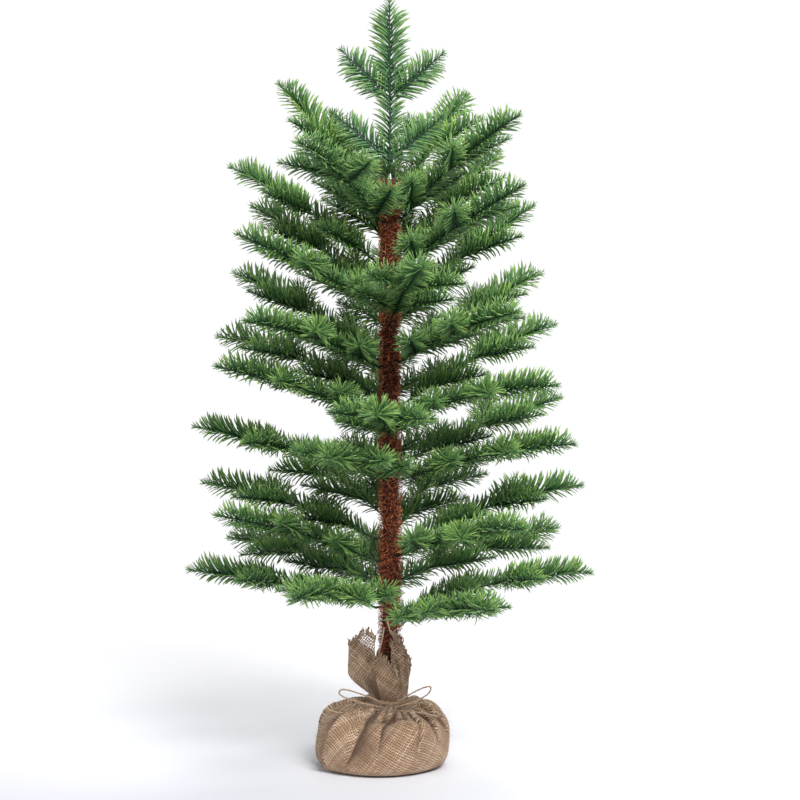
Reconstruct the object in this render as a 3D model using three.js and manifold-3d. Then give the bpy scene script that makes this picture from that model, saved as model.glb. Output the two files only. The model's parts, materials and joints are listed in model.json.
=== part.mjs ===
// An artificial tabletop tree: moulded needle sprays on wire stems, bound to a bristle-wrapped pole
// that is cast into a ballast and bagged in burlap tied with twine.
// Millimetres, +Z up. The origin is on the trunk's axis, where the bag rests on the table.
import * as THREE from "three";
import { mergeVertices } from "three/addons/utils/BufferGeometryUtils.js";
import Module from "manifold-3d";

const GAP = 0.3; // clearance between pieces that touch

// Pole, bristle wrap and wire
const POLE_RADIUS = 4;
const POLE_FOOT = 12; // height of the pole's lower end, inside the ballast
const POLE_CRIMP = 12; // length of the tapered end that grips the leader's wire
const WRAP_RADIUS_LOW = 14.5;
const WRAP_RADIUS_TOP = 12.5;
const STEM_RADIUS = 1.5; // taped wire stem of a branch
const BINDING_WALL = 2; // wires and thread wound round the pole at each tier
const BINDING_MARGIN = 8; // binding above the highest stem of a tier and below the lowest

// One moulded spray: a spine with a terminal tip and two pairs of side tips
const JUNCTION_PITCH = 70;
const TERMINAL_LENGTH = 115;
const SIDE_LENGTH = 84;
const SIDE_ANGLE = 45;
const NEEDLE_WIDTH = 20; // across the dense part of a tip's needles
const NEEDLE_THICK = 1.4;
const CURL = 16; // degrees that a spray levels out between its hinge and its end
const HINGE_RADIUS = WRAP_RADIUS_LOW + 3.5; // distance of a stem's bend from the trunk's axis

// Branches, a tier at a time: the tier's height above the tie and the bare stem before the first side tips,
// then for each branch its turn round the trunk, its height above the tier, its rise and its roll
const TIERS = [
  {
    height: 110,
    stem: 40,
    branches: [
      [-6, 0, 20, -6], [30, 32, 17, 4], [96, 0, 20, 0], [146, 26, 18, 0],
      [184, 0, 19, 6], [244, 10, 18, 0], [299, -14, 20, 0],
    ],
  },
  {
    height: 186,
    stem: 38,
    branches: [
      [8, 0, 26, 0], [70, 10, 24, 0], [122, 30, 22, 0], [166, 4, 24, 0],
      [208, -20, 26, 8], [312, -12, 23, 0],
    ],
  },
  {
    height: 262,
    stem: 36,
    branches: [
      [-22, 0, 22, -6], [28, 16, 24, 0], [94, 0, 26, 0], [184, 0, 23, 0],
      [252, 0, 22, 0],
    ],
  },
  {
    height: 334,
    stem: 32,
    branches: [
      [-34, 0, 22, 0], [24, 14, 32, 0], [98, 0, 28, 0], [158, 24, 25, 0],
      [206, 0, 26, 0], [266, -20, 22, 0],
    ],
  },
  {
    height: 399,
    stem: 28,
    branches: [
      [30, 0, 34, 0], [92, 22, 34, 0], [156, 0, 35, 0], [222, -6, 27, 0],
      [312, 0, 28, 0],
    ],
  },
  {
    height: 459,
    stem: 22,
    branches: [
      [26, 0, 41, 0], [148, 12, 38, 0], [212, 0, 34, 0], [280, -8, 29, 0],
    ],
  },
  {
    height: 514,
    stem: 18,
    branches: [
      [42, 0, 44, 0], [110, 18, 46, 0], [174, 0, 40, 0], [322, -6, 36, 0],
    ],
  },
  {
    height: 564,
    stem: 15,
    branches: [
      [58, 12, 48, 0], [158, 0, 60, 0], [238, -4, 38, 0], [326, 0, 46, 0],
    ],
  },
];

// Leader: the same spray standing on the pole's end
const LEADER_STEM = 13;

// Base
const BALLAST_RADIUS = 56;
const BALLAST_HEIGHT = 52;
const TUB_WALL = 1.6;
const TUB_TAPER = 4; // the tub's rim is this much wider than its floor, in radius
const TUB_HEIGHT = 56;
const CLOTH_WALL = 2.5; // the gathered burlap, folded on itself
const CLOTH_SLACK = 21; // how far the cloth bags out past the tub's rim
const CLOTH_SAG = 13; // how far the slack cloth has settled towards -X at the floor
const NECK_HEIGHT = TUB_HEIGHT + 20; // the middle of the tie
const NECK_RADIUS = WRAP_RADIUS_LOW + 5;
const NECK_BELOW = 5; // straight neck below the tie's middle
const NECK_ABOVE = 6; // and above it
const WRAP_FOOT = NECK_HEIGHT - 10; // the bristles start inside the neck
const POLE_TOP = NECK_HEIGHT + 614;
const WRAP_TOP = POLE_TOP - 16;
const EAR_BULGE = 0.3; // how much wider an ear's arc grows at half its height
const EAR_SLANT = 8; // how much lower one edge of an ear's top is than its middle, for each radian of arc
// The gathered corners of the cloth: turn, arc, height above the tie, and how far the top leans out
const EARS = [
  [196, 80, 80, 24],
  [262, 62, 64, 6],
  [326, 70, 82, 3],
  [80, 84, 72, 3],
];

// Twine
const TWINE = 2;
const WINDINGS = 3; // turns round the neck
const KNOT_TURN = -94; // degrees round the neck where the bow is tied
const KNOT_RADIUS = 4.5;

const ROUND = 16; // facets of the bag and of the twine round its neck

const SHADES = {
  needles: new THREE.MeshStandardMaterial({ color: 0x3f7a45, roughness: 0.55 }),
  bristle: new THREE.MeshStandardMaterial({ color: 0x8a3a1c, roughness: 0.8 }),
  wire: new THREE.MeshStandardMaterial({ color: 0x2c4a2c, roughness: 0.6 }),
  steel: new THREE.MeshStandardMaterial({ color: 0x8f9296, roughness: 0.35, metalness: 1 }),
  cement: new THREE.MeshStandardMaterial({ color: 0x9b978e, roughness: 0.95 }),
  tub: new THREE.MeshStandardMaterial({ color: 0x26282a, roughness: 0.5 }),
  burlap: new THREE.MeshStandardMaterial({ color: 0xb99a78, roughness: 0.95 }),
  twine: new THREE.MeshStandardMaterial({ color: 0xa98b62, roughness: 0.9 }),
};

const wasm = await Module();
wasm.setup();
const tree = new THREE.Group();
const radians = THREE.MathUtils.degToRad;

// A closed geometry as a solid that can be joined and cut.
function solid(geometry) {
  const bare = geometry.clone();
  bare.deleteAttribute("normal");
  bare.deleteAttribute("uv");
  const merged = mergeVertices(bare, 1e-4);
  const vertProperties = merged.attributes.position.array;
  const triVerts = new Uint32Array(merged.index.array);
  return new wasm.Manifold(new wasm.Mesh({ numProp: 3, vertProperties, triVerts }));
}

// A solid as a geometry that a mesh can hold.
function geometryOf(body) {
  const { vertProperties, triVerts } = body.getMesh();
  const geometry = new THREE.BufferGeometry();
  geometry.setAttribute("position", new THREE.BufferAttribute(vertProperties, 3));
  geometry.setIndex(new THREE.BufferAttribute(triVerts, 1));
  geometry.computeVertexNormals();
  return geometry;
}

function joined(geometries) {
  return geometries.map(solid).reduce((whole, piece) => whole.add(piece));
}

function addMesh(name, geometry, material, parent = tree) {
  const mesh = new THREE.Mesh(geometry, material);
  mesh.name = name;
  parent.add(mesh);
  return mesh;
}

// A round solid about the trunk's axis, from outline points [radius, height].
function turned(outline, segments) {
  const points = outline.map(([radius, height]) => new THREE.Vector2(radius, height));
  return new THREE.LatheGeometry(points, segments).rotateX(Math.PI / 2);
}

// A straight round rod between two points.
function rod(from, to, radius, sides = 6) {
  const along = new THREE.Vector3().subVectors(to, from);
  const geometry = new THREE.CylinderGeometry(radius, radius, along.length(), sides);
  geometry.translate(0, along.length() / 2, 0);
  const turn = new THREE.Quaternion().setFromUnitVectors(new THREE.Vector3(0, 1, 0), along.normalize());
  return geometry.applyQuaternion(turn).translate(from.x, from.y, from.z);
}

// The point at a distance, a turn and a height round the trunk.
function around(radius, turn, height) {
  return new THREE.Vector3(radius * Math.cos(radians(turn)), radius * Math.sin(radians(turn)), height);
}

// ---- Needle sprays ----

// A point of a side tip's edge: how far along the tip from its junction, and how far out towards the trunk.
function sideEdge(junction, along, out) {
  const [cos, sin] = [Math.cos(radians(SIDE_ANGLE)), Math.sin(radians(SIDE_ANGLE))];
  return [junction + along * cos - out * sin, along * sin + out * cos];
}

// One half of a spray's needle outline, from its first side tip to the end of its terminal tip.
function halfOutline(stem) {
  const half = NEEDLE_WIDTH / 2;
  const blunt = half * 0.3;
  const notch = half / Math.tan(radians(SIDE_ANGLE / 2));
  const second = stem + JUNCTION_PITCH;
  const outline = [[stem - half / 2, STEM_RADIUS * 0.6]];
  [stem, second].forEach((junction) => {
    outline.push(sideEdge(junction, half, half * 0.8), sideEdge(junction, SIDE_LENGTH * 0.7, half * 0.9));
    outline.push(sideEdge(junction, SIDE_LENGTH, blunt), sideEdge(junction, SIDE_LENGTH, -blunt));
    outline.push(sideEdge(junction, SIDE_LENGTH * 0.7, -half * 0.9), [junction + notch, half]);
  });
  outline.push([second + TERMINAL_LENGTH * 0.7, half * 0.95], [second + TERMINAL_LENGTH, blunt]);
  return outline;
}

// Levels a straight spray out: the spine, which leaves along +X, curls down towards its end.
function curled(geometry, reach) {
  const place = geometry.attributes.position;
  const curl = radians(CURL);
  const radius = reach / curl;
  for (let i = 0; i < place.count; i++) {
    const turn = (curl * Math.max(place.getX(i), 0)) / reach;
    const before = Math.min(place.getX(i), 0);
    const x = before + (radius + place.getZ(i)) * Math.sin(turn);
    const z = (radius + place.getZ(i)) * Math.cos(turn) - radius;
    place.setXYZ(i, x, place.getY(i), z);
  }
  return geometry;
}

// A whole spray, its hinge at the origin and its stem leaving along +X.
function spray(stem) {
  const reach = stem + JUNCTION_PITCH + TERMINAL_LENGTH;
  const half = halfOutline(stem);
  const other = half.map(([x, y]) => [x, -y]).reverse();
  const shape = new THREE.Shape([...half, ...other].map(([x, y]) => new THREE.Vector2(x, y)));
  const needles = new THREE.ExtrudeGeometry(shape, { depth: NEEDLE_THICK, bevelEnabled: false });
  needles.translate(0, 0, -NEEDLE_THICK / 2);
  const bare = stem - NEEDLE_WIDTH / 8;
  const wire = new THREE.CapsuleGeometry(STEM_RADIUS, bare, 2, 6, 2);
  wire.rotateZ(-Math.PI / 2).translate(bare / 2, 0, 0);
  return geometryOf(joined([curled(wire, reach), curled(needles, reach)]));
}

// ---- Trunk ----

function bindingBand(tier) {
  const heights = tier.branches.map(([, above]) => NECK_HEIGHT + tier.height + above);
  return [Math.min(...heights) - BINDING_MARGIN, Math.max(...heights) + BINDING_MARGIN];
}

// A ring round the pole over a tier's band of heights.
function bandRing(tier, extra) {
  const [low, high] = bindingBand(tier);
  const inner = POLE_RADIUS + GAP - extra;
  const outer = POLE_RADIUS + GAP + BINDING_WALL + extra;
  const ring = [[inner, low - extra], [outer, low - extra], [outer, high + extra], [inner, high + extra]];
  return turned([...ring, ring[0]], 10);
}

// Rods out from the pole to every stem of a tier.
function stubs(tier, end, radius, sides) {
  return tier.branches.map(([turn, above]) => {
    const height = NECK_HEIGHT + tier.height + above;
    const from = around(POLE_RADIUS + GAP + BINDING_WALL / 2, turn, height);
    return rod(from, around(end, turn, height), radius, sides);
  });
}

// The wires bound round the pole at a tier, with a stub out to each stem.
function binding(tier) {
  const end = HINGE_RADIUS - STEM_RADIUS - GAP;
  return geometryOf(joined([bandRing(tier, 0), ...stubs(tier, end, STEM_RADIUS, 5)]));
}

// The bristle sleeve, open round the bindings and, in square holes, round their stubs.
function bristleWrap() {
  const inner = POLE_RADIUS + GAP;
  const outline = [[inner, WRAP_FOOT], [WRAP_RADIUS_LOW, WRAP_FOOT]];
  outline.push([WRAP_RADIUS_TOP, WRAP_TOP], [inner, WRAP_TOP]);
  const hole = (STEM_RADIUS + GAP) * Math.SQRT2;
  const cuts = TIERS.map((tier) => joined([bandRing(tier, GAP), ...stubs(tier, HINGE_RADIUS, hole, 4)]));
  const sleeve = solid(turned([...outline, outline[0]], 10));
  return geometryOf(cuts.reduce((left, cut) => left.subtract(cut), sleeve));
}

function addTrunk() {
  const pole = [[0, POLE_FOOT], [POLE_RADIUS, POLE_FOOT], [POLE_RADIUS, POLE_TOP - POLE_CRIMP]];
  pole.push([STEM_RADIUS, POLE_TOP], [0, POLE_TOP]);
  addMesh("trunk_pole", turned(pole, 14), SHADES.steel);
  addMesh("trunk_bristle_wrap", bristleWrap(), SHADES.bristle);
  TIERS.forEach((tier, index) => {
    addMesh(`tier_${index + 1}_wire_binding`, binding(tier), SHADES.wire);
  });
}

function addBranches() {
  TIERS.forEach((tier, index) => {
    const shape = spray(tier.stem);
    tier.branches.forEach(([turn, above, rise, roll], place) => {
      const hinge = new THREE.Group();
      hinge.position.copy(around(HINGE_RADIUS, turn, NECK_HEIGHT + tier.height + above));
      hinge.rotation.set(radians(roll), -radians(rise), radians(turn), "ZYX");
      tree.add(hinge);
      addMesh(`branch_${index + 1}_${"abcdefg"[place]}`, shape, SHADES.needles, hinge);
    });
  });
}

// The leader's wire leaves the pole's crimped end, and its spray stands up from the bend above it.
function addLeader() {
  const hinge = new THREE.Group();
  hinge.position.set(0, 0, POLE_TOP + STEM_RADIUS + GAP);
  hinge.rotation.set(-radians(CURL / 2), -radians(90), -radians(90), "XZY");
  tree.add(hinge);
  addMesh("leader_spray", spray(LEADER_STEM), SHADES.needles, hinge);
}

// ---- Base ----

function addBallast() {
  const floor = CLOTH_WALL + GAP;
  const inside = floor + TUB_WALL;
  const rim = BALLAST_RADIUS + TUB_WALL;
  const tub = [[0, floor], [rim - TUB_TAPER, floor], [rim, floor + TUB_HEIGHT]];
  tub.push([rim - TUB_WALL, floor + TUB_HEIGHT], [rim - TUB_TAPER - TUB_WALL, inside], [0, inside]);
  addMesh("ballast_tub", turned(tub, 28), SHADES.tub);
  const foot = BALLAST_RADIUS - TUB_TAPER - GAP;
  const slope = TUB_TAPER / TUB_HEIGHT;
  const low = inside + GAP;
  const high = low + BALLAST_HEIGHT;
  const top = foot + slope * BALLAST_HEIGHT - GAP;
  const socket = POLE_RADIUS + GAP;
  const cement = [[0, low], [foot, low], [top, high], [socket, high]];
  cement.push([socket, POLE_FOOT - GAP], [0, POLE_FOOT - GAP]);
  addMesh("cement_ballast", turned(cement, 28), SHADES.cement);
}

// The gathered cloth's outside: its flat floor, the slack sides as shares of the cloth's height over the tub,
// the shoulder that rounds the tub's rim, and the neck.
function bagOutline() {
  const rim = BALLAST_RADIUS + TUB_WALL;
  const slack = rim + CLOTH_SLACK;
  const top = TUB_HEIGHT + 2 * CLOTH_WALL;
  const floor = [[0, 0], [slack - 10, 0]];
  const sides = [[slack - 3, top * 0.09], [slack, top * 0.32]];
  sides.push([slack - 1.5, top * 0.6], [slack - 7, top * 0.86]);
  const shoulder = [[rim + 6, top + 1], [rim - 6, top + 6], [NECK_RADIUS + 12, top + 8]];
  const neck = [[NECK_RADIUS, NECK_HEIGHT - NECK_BELOW], [NECK_RADIUS, NECK_HEIGHT + NECK_ABOVE]];
  return [...floor, ...sides, ...shoulder, ...neck];
}

// The same outline set in by the cloth's thickness.
function setIn(outline, depth) {
  return outline.map(([radius, height], i) => {
    const [before, after] = [outline[Math.max(i - 1, 0)], outline[Math.min(i + 1, outline.length - 1)]];
    const along = new THREE.Vector2(after[0] - before[0], after[1] - before[1]).normalize();
    return radius ? [radius - depth * along.y, height + depth * along.x] : [0, height + depth];
  });
}

// A gathered corner of the cloth: its turn, the arc it covers, how far it stands above the tie and its lean.
function ear(turn, arc, above, lean) {
  const low = NECK_HEIGHT + (WINDINGS * TWINE) / 2 + GAP;
  const height = NECK_HEIGHT + above;
  const [inner, outer] = [NECK_RADIUS - CLOTH_WALL, NECK_RADIUS];
  const half = radians(arc / 2);
  const section = new THREE.Shape().absarc(0, 0, outer, -half, half, false);
  section.absarc(0, 0, inner, half, -half, true);
  const depth = height - low;
  const slab = new THREE.ExtrudeGeometry(section, { depth, steps: 3, bevelEnabled: false, curveSegments: 3 });
  const place = slab.attributes.position;
  for (let i = 0; i < place.count; i++) {
    const share = place.getZ(i) / depth;
    const radius = Math.hypot(place.getX(i), place.getY(i)) + lean * share;
    const wider = 1 + EAR_BULGE * Math.sin(Math.PI * share);
    const spread = Math.atan2(place.getY(i), place.getX(i)) * wider;
    const z = low + place.getZ(i) - EAR_SLANT * share * spread;
    place.setXYZ(i, radius * Math.cos(spread), radius * Math.sin(spread), z);
  }
  return slab.rotateZ(radians(turn));
}

function addBag() {
  const outside = bagOutline();
  const wall = turned([...outside, ...setIn(outside, CLOTH_WALL).reverse()], ROUND);
  const place = wall.attributes.position;
  for (let i = 0; i < place.count; i++) {
    const sag = 1 - Math.min(place.getZ(i) / TUB_HEIGHT, 1);
    place.setX(i, place.getX(i) - CLOTH_SAG * sag);
  }
  const ears = EARS.map((sizes) => ear(...sizes));
  addMesh("burlap_bag", geometryOf(joined([wall, ...ears])), SHADES.burlap);
}

// ---- Twine ----

function addWinding() {
  const start = NECK_HEIGHT - (WINDINGS / 2) * TWINE;
  const inner = NECK_RADIUS + 1.5 * GAP;
  const outline = [[inner, start]];
  for (let turn = 0; turn < WINDINGS; turn++) {
    const low = start + turn * TWINE;
    outline.push([inner + TWINE * 0.7, low + TWINE * 0.1], [inner + TWINE, low + TWINE * 0.5]);
    outline.push([inner + TWINE * 0.7, low + TWINE * 0.9]);
  }
  outline.push([inner, start + WINDINGS * TWINE], [inner, start]);
  const knot = new THREE.SphereGeometry(KNOT_RADIUS, 8, 6);
  const at = around(inner + TWINE / 2 + KNOT_RADIUS, KNOT_TURN, NECK_HEIGHT);
  knot.translate(at.x, at.y, at.z);
  addMesh("twine_winding", geometryOf(joined([turned(outline, ROUND), knot])), SHADES.twine);
}

// A length of twine along points [x, y, z].
function twineAlong(points, steps) {
  const through = points.map((point) => new THREE.Vector3(...point));
  const route = new THREE.CatmullRomCurve3(through, false, "centripetal");
  const section = new THREE.Shape().absarc(0, 0, TWINE / 2, 0, 2 * Math.PI);
  return new THREE.ExtrudeGeometry(section, { steps, curveSegments: 4, extrudePath: route });
}

// The bow's routes, as points [x, y, height above the tie]
const LEFT_LOOP = [
  [-7.5, -28.5, 1], [-14, -33, 6], [-24, -35, 11], [-36, -34, 15], [-48, -31, 18], [-57, -28, 18],
  [-59, -30, 14], [-53, -34, 10.5], [-42, -38, 7.5], [-29, -39, 4], [-17, -36, 0.5], [-8, -31.5, -2.5],
];
const RIGHT_LOOP = [
  [5, -28.5, 1.5], [11, -32, 6], [20, -34, 12], [31, -33, 18], [41, -30, 21.5], [47, -27, 21],
  [46, -30, 16], [39, -35, 11], [29, -39, 7], [18, -38, 3], [10, -34, -0.5], [4.5, -31.5, -2],
];
const LEFT_TAIL = [
  [-8, -30, -5.5], [-15, -33, -5], [-25, -36, -5.5], [-36, -39, -6], [-48, -41, -6.5], [-60, -41, -6],
  [-70, -39, -3],
];
const RIGHT_TAIL = [
  [5, -31, -5.5], [13, -35, -5.5], [23, -38, -5.5], [34, -41, -6], [45, -43, -7.5], [55, -45, -10],
];

function addBow() {
  const bow = new THREE.Group();
  bow.position.z = NECK_HEIGHT;
  tree.add(bow);
  addMesh("twine_loop_left", twineAlong(LEFT_LOOP, 18), SHADES.twine, bow);
  addMesh("twine_loop_right", twineAlong(RIGHT_LOOP, 18), SHADES.twine, bow);
  addMesh("twine_tail_left", twineAlong(LEFT_TAIL, 10), SHADES.twine, bow);
  addMesh("twine_tail_right", twineAlong(RIGHT_TAIL, 10), SHADES.twine, bow);
}

addTrunk();
addBranches();
addLeader();
addBallast();
addBag();
addWinding();
addBow();

export default tree;
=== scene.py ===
# %% [markdown]
# # An artificial tabletop tree, from its frame to its looks
# The frame is a set of plain solids that move: a pole cast into a ballast, a bristle sleeve, forty-two
# sprays that bend at the trunk, a sack and a twine bow. This script keeps their places and sizes, and
# makes what is seen: the moulded needles, the red bristle, the open burlap and the twisted twine.
# Everything is in metres, with the origin where the trunk's axis meets the table.

import json
import math

import bpy
import numpy as np
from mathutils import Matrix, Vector


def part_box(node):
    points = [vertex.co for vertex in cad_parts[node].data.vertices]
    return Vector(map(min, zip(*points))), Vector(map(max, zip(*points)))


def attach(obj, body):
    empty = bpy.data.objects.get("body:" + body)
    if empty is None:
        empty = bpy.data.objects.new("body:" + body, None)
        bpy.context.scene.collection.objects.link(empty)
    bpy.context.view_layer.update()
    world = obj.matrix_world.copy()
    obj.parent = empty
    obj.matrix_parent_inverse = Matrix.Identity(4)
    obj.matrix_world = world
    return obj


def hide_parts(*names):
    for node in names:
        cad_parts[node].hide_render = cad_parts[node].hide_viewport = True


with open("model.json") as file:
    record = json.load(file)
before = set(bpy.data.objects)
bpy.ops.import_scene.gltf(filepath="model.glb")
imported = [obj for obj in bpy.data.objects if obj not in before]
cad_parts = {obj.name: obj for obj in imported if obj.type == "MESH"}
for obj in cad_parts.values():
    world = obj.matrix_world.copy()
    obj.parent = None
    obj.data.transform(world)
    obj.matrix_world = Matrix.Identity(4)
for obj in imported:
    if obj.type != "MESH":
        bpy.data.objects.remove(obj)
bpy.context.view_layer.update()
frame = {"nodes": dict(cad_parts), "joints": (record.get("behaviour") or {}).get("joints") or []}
MM = 0.001
TRUNK = "trunk_and_base"

# %% [markdown]
# ## The camera
# A portrait lens a few metres away keeps the tree's sides parallel, as a shop's picture does. It looks
# slightly down from the height of the tree's top, so the floor stays calm and the sack shows its
# shoulder.

# %% Camera
camera_data = bpy.data.cameras.new("studio_camera")
camera_data.lens = 133.5
camera_data.sensor_width = 36
camera = bpy.data.objects.new("studio_camera", camera_data)
bpy.context.scene.collection.objects.link(camera)
bpy.context.scene.camera = camera
CAMERA_PLACE = Vector((0.0115, -3.4, 0.85))
CAMERA_TARGET = Vector((0.0115, 0, 0.429))
camera.location = CAMERA_PLACE
camera.rotation_euler = (CAMERA_TARGET - CAMERA_PLACE).to_track_quat("-Z", "Y").to_euler()
print("camera", round((CAMERA_TARGET - CAMERA_PLACE).length, 3), "m away")

# %% [markdown]
# ## Growing a small shape by extruding it
# A needle, a bristle and a spine are all the same idea: a small ring of corners that is pushed along a
# little, turned and narrowed, again and again. By hand that is one face extruded, rotated and scaled.
# The same three operators run here in a loop, and the last ring is merged into a point.

# %% Extruding helpers
def begin_ring(corners, wide, thin):
    """A filled ring of corners lying flat, open in edit mode and selected."""
    bpy.ops.object.select_all(action="DESELECT")
    bpy.ops.mesh.primitive_circle_add(vertices=corners, radius=1, fill_type="NGON")
    bpy.ops.object.mode_set(mode="EDIT")
    bpy.ops.mesh.select_all(action="SELECT")
    bpy.ops.transform.resize(value=(wide, thin, 1))
    return bpy.context.object


def extrude_on(place, heading, step, bend, widen):
    """Pushes the selected face on, bends it towards +X and scales it. Gives its new place."""
    move = Vector((math.sin(heading), 0, math.cos(heading))) * step
    bpy.ops.mesh.extrude_region_move(TRANSFORM_OT_translate={"value": move})
    place = place + move
    if bend:
        bpy.ops.transform.rotate(value=-bend, orient_axis="Y", center_override=place)
    if widen != 1:
        bpy.ops.transform.resize(value=(widen, widen, widen), center_override=place)
    return place


def grown(corners, wide, thin, steps, pointed=True):
    """The points and faces of a ring grown through steps of (length, bend in degrees, widening)."""
    shape = begin_ring(corners, wide, thin)
    place, heading = Vector((0, 0, 0)), 0.0
    for step, bend, widen in steps:
        place = extrude_on(place, heading, step, math.radians(bend), widen)
        heading += math.radians(bend)
    if pointed:
        bpy.ops.mesh.merge(type="CENTER")
    bpy.ops.mesh.select_all(action="SELECT")
    bpy.ops.mesh.normals_make_consistent(inside=False)
    bpy.ops.object.mode_set(mode="OBJECT")
    points = np.array([vertex.co for vertex in shape.data.vertices])
    faces = [tuple(face.vertices) for face in shape.data.polygons]
    bpy.data.objects.remove(shape)
    return points, faces


# %% [markdown]
# ## One needle, one bristle, one spine
# The needles are moulded in polyethylene: a flat blade with a lens section, widest a third of the way
# up, that leaves the spine leaning forward and curves outwards to a fine tip. Four corners and four
# steps are enough for each, because there are thousands of them. A bristle is a thin curled thread with
# three corners, and a spine is a longer rod with a small swelling at each pair of needles.

# %% Masters
NEEDLE_STEPS = ((0.22, 4, 1.42), (0.28, 10, 1.0), (0.30, 12, 0.84), (0.20, 8, 0.3))
needle_master = grown(4, 0.029, 0.017, NEEDLE_STEPS)

BRISTLE_STEPS = ((0.34, 34, 1.0), (0.34, 40, 0.9), (0.32, 30, 0.5))
bristle_master = grown(3, 0.036, 0.036, BRISTLE_STEPS)

SPINE_RINGS = 22
spine_steps = [(1 / SPINE_RINGS, 0, 1.22 if ring % 2 == 0 else 0.79) for ring in range(SPINE_RINGS)]
spine_master = grown(6, 1.0, 1.0, spine_steps, pointed=False)
rod_master = grown(6, 1.0, 1.0, [(1 / 12, 0, 1)] * 12, pointed=False)
print("needle", len(needle_master[0]), "points, reaches", needle_master[0].max(0).round(3))
print("bristle", len(bristle_master[0]), "points, spine", len(spine_master[0]), "points")

# %% [markdown]
# ## Planting copies
# Each copy of a master is the same points, turned by its own three axes, scaled, and moved. Doing this
# with arrays instead of thousands of objects keeps a whole spray one piece with one mesh of its own.
# Three numbers travel with each point for the materials: the copy's own tint, how far along the copy
# the point is, and how much it faces down.

# %% Piles of copies
def copies(master, axes, places, scales, tints, finish):
    """Copies of a master: (points, faces, finish of each face, shades of each point)."""
    points, faces = master
    count, size = len(places), len(points)
    placed = np.einsum("nmi,nij->nmj", points[None] * scales[:, None], axes) + places[:, None]
    shades = np.zeros((count, size, 3))
    shades[:, :, 0] = tints[:, None]
    shades[:, :, 1] = points[:, 2] / points[:, 2].max()
    shades[:, :, 2] = 0.5 - 0.5 * np.sign(np.round(points[:, 1], 5))
    many = [tuple(corner + size * copy for corner in face) for copy in range(count) for face in faces]
    return placed.reshape(-1, 3), many, [finish] * len(many), shades.reshape(-1, 3)


def heaped(piles):
    """Several piles as one."""
    points, faces, finishes, shades = [], [], [], []
    start = 0
    for pile in piles:
        points.append(pile[0])
        faces += [tuple(corner + start for corner in face) for face in pile[1]]
        finishes += pile[2]
        shades.append(pile[3])
        start += len(pile[0])
    return np.concatenate(points), faces, finishes, np.concatenate(shades)


def new_piece(name, pile, materials):
    """A mesh piece from a pile, smooth, with its shades as an attribute."""
    points, faces, finishes, shades = pile
    mesh = bpy.data.meshes.new(name)
    mesh.from_pydata(points.tolist(), [], faces)
    mesh.polygons.foreach_set("material_index", finishes)
    mesh.polygons.foreach_set("use_smooth", [True] * len(faces))
    colours = np.concatenate([shades, np.ones((len(shades), 1))], axis=1)
    shade = mesh.attributes.new("shade", "FLOAT_COLOR", "POINT")
    shade.data.foreach_set("color", colours.astype(np.float32).ravel())
    for material in materials:
        mesh.materials.append(material)
    piece = bpy.data.objects.new(name, mesh)
    bpy.context.scene.collection.objects.link(piece)
    mesh.update()
    return piece


# %% [markdown]
# ## Materials by nodes
# A few short helpers keep the node trees readable: one adds a node, one joins a chain of sums. Every
# finish is a Principled shader whose colour, roughness and bump come from patterns in the piece's own
# space or from the shades that its points carry.

# %% Node helpers
def new_material(name, roughness=0.5):
    material = bpy.data.materials.new(name)
    material.use_nodes = True
    shader = material.node_tree.nodes["Principled BSDF"]
    shader.inputs["Roughness"].default_value = roughness
    return material, shader


def add_node(material, kind, values=None, **settings):
    """A node with its settings, and its inputs set to values or joined to other nodes' outputs."""
    made = material.node_tree.nodes.new(kind)
    for name, value in settings.items():
        setattr(made, name, value)
    for name, value in (values or {}).items():
        if isinstance(value, bpy.types.NodeSocket):
            material.node_tree.links.new(value, made.inputs[name])
        else:
            made.inputs[name].default_value = value
    return made


def join(material, output, socket):
    material.node_tree.links.new(output, socket)


def calc(material, operation, *terms):
    """One sum of a Math node, from sockets and plain numbers."""
    made = material.node_tree.nodes.new("ShaderNodeMath")
    made.operation = operation
    for place, term in enumerate(terms):
        if isinstance(term, bpy.types.NodeSocket):
            material.node_tree.links.new(term, made.inputs[place])
        else:
            made.inputs[place].default_value = term
    return made.outputs[0]


def ramp(material, factor, stops):
    """A colour ramp through stops of (place, (r, g, b))."""
    made = add_node(material, "ShaderNodeValToRGB", {"Fac": factor})
    band = made.color_ramp
    while len(band.elements) < len(stops):
        band.elements.new(0.5)
    for element, (place, colour) in zip(band.elements, stops):
        element.position = place
        element.color = (*colour, 1)
    return made.outputs["Color"]


def mix(material, factor, first, second, blend="MIX"):
    made = add_node(material, "ShaderNodeMix", data_type="RGBA", blend_type=blend)
    for name, value in (("Factor_Float", factor), ("A_Color", first), ("B_Color", second)):
        socket = next(s for s in made.inputs if s.identifier == name)
        if isinstance(value, bpy.types.NodeSocket):
            join(material, value, socket)
        elif name == "Factor_Float":
            socket.default_value = value
        else:
            socket.default_value = (*value, 1)
    return next(s for s in made.outputs if s.identifier == "Result_Color")


def noise(material, scale, detail=3, stretch=(1, 1, 1)):
    """Soft noise in the piece's own space."""
    place = add_node(material, "ShaderNodeTexCoord").outputs["Object"]
    turned = add_node(material, "ShaderNodeMapping", {"Vector": place, "Scale": stretch})
    made = add_node(material, "ShaderNodeTexNoise", {"Vector": turned.outputs[0]})
    made.inputs["Scale"].default_value = scale
    made.inputs["Detail"].default_value = detail
    return made.outputs["Fac"]


def bump(material, shader, height, depth, strength=1.0):
    made = add_node(material, "ShaderNodeBump", {"Height": height, "Strength": strength})
    made.inputs["Distance"].default_value = depth
    join(material, made.outputs["Normal"], shader.inputs["Normal"])


def shades(material):
    """The tint, the place along the copy and how much it faces down, as three outputs."""
    read = add_node(material, "ShaderNodeAttribute", attribute_name="shade")
    return add_node(material, "ShaderNodeSeparateColor", {"Color": read.outputs["Color"]}).outputs


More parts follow.
